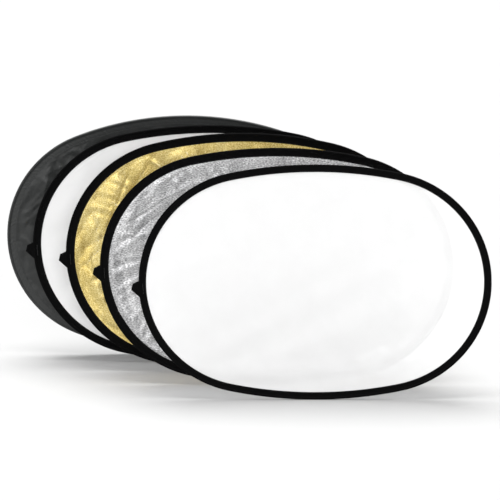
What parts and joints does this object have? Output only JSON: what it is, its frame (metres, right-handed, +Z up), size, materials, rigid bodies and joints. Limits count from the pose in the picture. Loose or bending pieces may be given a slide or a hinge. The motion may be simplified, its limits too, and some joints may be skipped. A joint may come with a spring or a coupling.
{
  "type": "collapsible reflector disc set",
  "caption": "Oval pop-up photo reflectors fanned out in a standing row: a translucent core disc before silver, gold, white and black ones, each a sprung steel hoop in an edge tape.",
  "frame": {"origin": "on the floor, under the middle of the whole set's box", "axes": "+X along the discs' long axes, towards the core disc; +Y from the core disc at the front to the black disc at the rear; +Z up"},
  "size_m": [1.6543, 0.6364, 0.8429],
  "materials": {
    "translucent_cloth": "sheer white diffusion cloth",
    "silver_cloth": "metallised silver cloth",
    "gold_cloth": "metallised gold cloth",
    "white_cloth": "matte white cloth",
    "black_cloth": "matte charcoal nylon",
    "edge_tape": "black woven tape",
    "ribbon": "black woven ribbon",
    "thread": "black sewing thread",
    "spring_steel": "blued spring steel band",
    "sleeve_steel": "crimped steel sleeve"
  },
  "bodies": {
    "core_left": {"core_panel_left": "translucent_cloth", "core_binding_left": "edge_tape", "core_hoop_left": "spring_steel", "core_tab_bartack": "thread"},
    "core_mid_left": {"core_panel_mid_left": "translucent_cloth", "core_binding_mid_left": "edge_tape", "core_hoop_mid_left": "spring_steel"},
    "core_mid_right": {"core_panel_mid_right": "translucent_cloth", "core_binding_mid_right": "edge_tape", "core_hoop_mid_right": "spring_steel"},
    "core_right": {"core_panel_right": "translucent_cloth", "core_binding_right": "edge_tape", "core_hoop_right": "spring_steel", "core_hoop_sleeve": "sleeve_steel"},
    "silver_disc": {"silver_panel": "silver_cloth", "silver_binding": "edge_tape", "silver_hoop": "spring_steel", "silver_hoop_sleeve": "sleeve_steel", "silver_tab_bartack": "thread"},
    "gold_disc": {"gold_panel": "gold_cloth", "gold_binding": "edge_tape", "gold_hoop": "spring_steel", "gold_hoop_sleeve": "sleeve_steel", "gold_tab_bartack": "thread"},
    "white_disc": {"white_panel": "white_cloth", "white_binding": "edge_tape", "white_hoop": "spring_steel", "white_hoop_sleeve": "sleeve_steel", "white_tab_bartack": "thread"},
    "black_disc": {"black_panel": "black_cloth", "black_hem": "black_cloth", "black_hoop": "spring_steel", "black_hoop_sleeve": "sleeve_steel"},
    "core_tab": {"core_tab": "ribbon"},
    "silver_tab": {"silver_tab": "ribbon"},
    "gold_tab": {"gold_tab": "ribbon"},
    "white_tab": {"white_tab": "ribbon"}
  },
  "joints": [
    {"name": "core_bend_left", "type": "hinge", "parent": "core_left", "child": "core_mid_left", "pos_m": [0.07725, -0.319, 0.4115], "axis": [0, 0, -1], "range_deg": [0, 60], "stiffness_Nm_per_rad": 12},
    {"name": "core_bend_middle", "type": "hinge", "parent": "core_mid_left", "child": "core_mid_right", "pos_m": [0.22725, -0.319, 0.4115], "axis": [0, 0, -1], "range_deg": [0, 60], "stiffness_Nm_per_rad": 12},
    {"name": "core_bend_right", "type": "hinge", "parent": "core_mid_right", "child": "core_right", "pos_m": [0.37725, -0.319, 0.4115], "axis": [0, 0, -1], "range_deg": [0, 60], "stiffness_Nm_per_rad": 12},
    {"name": "silver_pull_out", "type": "slide", "parent": "core_left", "child": "silver_disc", "axis": [1, 0, 0], "range_m": [-1.121, 0.129]},
    {"name": "gold_pull_out", "type": "slide", "parent": "core_left", "child": "gold_disc", "axis": [1, 0, 0], "range_m": [-1.007, 0.243]},
    {"name": "white_pull_out", "type": "slide", "parent": "core_left", "child": "white_disc", "axis": [1, 0, 0], "range_m": [-0.894, 0.356]},
    {"name": "black_pull_out", "type": "slide", "parent": "core_left", "child": "black_disc", "axis": [1, 0, 0], "range_m": [-0.811, 0.439]},
    {"name": "core_tab_flap", "type": "hinge", "parent": "core_left", "child": "core_tab", "pos_m": [-0.37321, -0.314, 0.38744], "axis": [-0.0615, 0, 0.9981], "range_deg": [-60, 60]},
    {"name": "silver_tab_flap", "type": "hinge", "parent": "silver_disc", "child": "silver_tab", "pos_m": [-0.50622, -0.111, 0.39194], "axis": [-0.0608, 0, 0.9981], "range_deg": [-60, 60]},
    {"name": "gold_tab_flap", "type": "hinge", "parent": "gold_disc", "child": "gold_tab", "pos_m": [-0.62372, 0.062, 0.39694], "axis": [-0.0606, 0, 0.9982], "range_deg": [-60, 60]},
    {"name": "white_tab_flap", "type": "hinge", "parent": "white_disc", "child": "white_tab", "pos_m": [-0.73772, 0.203, 0.39394], "axis": [-0.0607, 0, 0.9982], "range_deg": [-60, 60]}
  ],
  "couplings": [
    {"joint": "core_bend_middle", "follows": "core_bend_left", "ratio": 1},
    {"joint": "core_bend_right", "follows": "core_bend_left", "ratio": 1}
  ]
}
